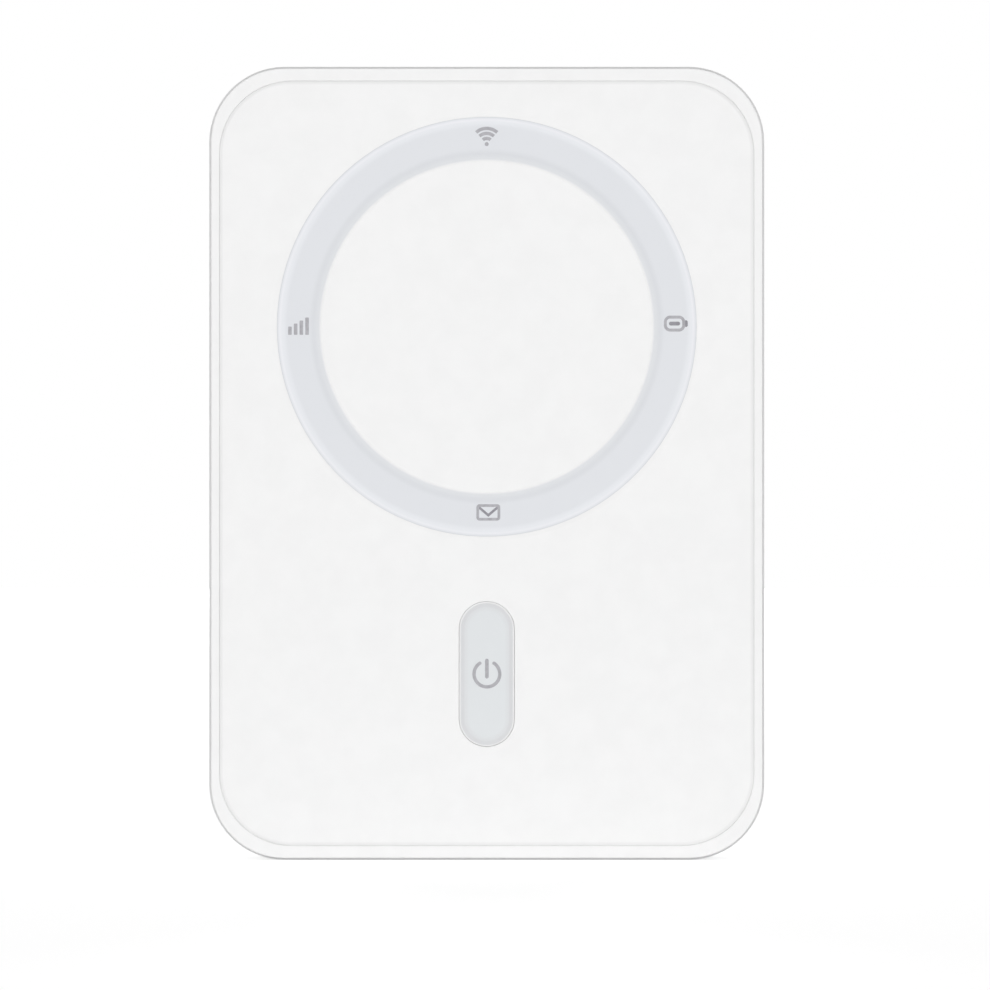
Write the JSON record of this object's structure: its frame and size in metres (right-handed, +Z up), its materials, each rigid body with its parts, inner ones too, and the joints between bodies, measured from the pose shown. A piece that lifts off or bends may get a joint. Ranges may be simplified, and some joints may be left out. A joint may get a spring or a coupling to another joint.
{
  "type": "mobile hotspot",
  "caption": "Pocket mobile hotspot: slim rounded plastic body, inset face plate with a round indicator ring and a pill-shaped power key, clip-on back cover over a battery.",
  "frame": {"origin": "middle of the bottom end, on the surface that the device stands on", "axes": "+Z up the face, -Y out of the front face, +X to the right as seen from the front"},
  "size_m": [0.07, 0.015, 0.1],
  "materials": {
    "shell_white": "satin moulded white",
    "light_guide": "translucent pale blue-grey, moulded",
    "key_plastic": "pale blue-grey, satin",
    "frame_plastic": "dark grey, fine spark texture",
    "connector_plastic": "black, matt",
    "shroud_rubber": "black, soft",
    "foam": "grey closed-cell foam",
    "adhesive": "clear tape",
    "board_green": "green solder mask",
    "can_steel": "tinned sheet",
    "screw_steel": "zinc plated",
    "gold_contacts": "gold flash",
    "aerial_film": "copper on amber film",
    "chip_epoxy": "black epoxy",
    "ferrite": "dark ferrite",
    "led_lens": "pale yellow phosphor",
    "pack_wrap": "aluminium pouch cell in a dark film wrap"
  },
  "bodies": {
    "housing": {"front_housing": "shell_white", "face_plate": "shell_white", "plate_adhesive": "adhesive", "indicator_ring": "light_guide", "light_shrouds": "shroud_rubber", "status_leds": "led_lens", "power_switch": "can_steel", "main_board": "board_green", "board_screws": "screw_steel", "modem_shield": "can_steel", "modem_chip": "chip_epoxy", "memory_chip": "chip_epoxy", "radio_shield": "can_steel", "charger_chip": "chip_epoxy", "power_inductor": "ferrite", "usb_shell": "can_steel", "usb_tongue": "connector_plastic", "usb_contacts": "gold_contacts", "sim_socket": "can_steel", "sim_contacts": "gold_contacts", "reset_switch": "can_steel", "wifi_antenna": "aerial_film", "main_antenna": "aerial_film", "diversity_antenna": "aerial_film", "antenna_clips": "gold_contacts", "battery_connector": "connector_plastic", "battery_blades": "gold_contacts", "battery_pack": "pack_wrap", "battery_end_cap": "connector_plastic", "battery_terminals": "gold_contacts", "inner_frame": "frame_plastic", "frame_screws": "screw_steel"},
    "power_key": {"power_button": "key_plastic"},
    "switch_plunger": {"power_switch_plunger": "connector_plastic"},
    "reset_pin": {"reset_plunger": "connector_plastic"},
    "cover": {"back_cover": "shell_white", "cover_foam": "foam"}
  },
  "joints": [
    {"name": "power_key_press", "type": "slide", "parent": "housing", "child": "power_key", "axis": [0, 1, 0], "range_m": [0, 0.00025], "stiffness_N_per_m": 6400},
    {"name": "switch_plunger_press", "type": "slide", "parent": "housing", "child": "switch_plunger", "axis": [0, 1, 0], "range_m": [0, 0.00025]},
    {"name": "reset_press", "type": "slide", "parent": "housing", "child": "reset_pin", "axis": [0, -1, 0], "range_m": [0, 0.0002], "stiffness_N_per_m": 8000},
    {"name": "cover_lift_off", "type": "slide", "parent": "housing", "child": "cover", "axis": [0, 1, 0], "range_m": [0, 0.02]}
  ],
  "couplings": [
    {"joint": "switch_plunger_press", "follows": "power_key_press", "ratio": 1}
  ]
}
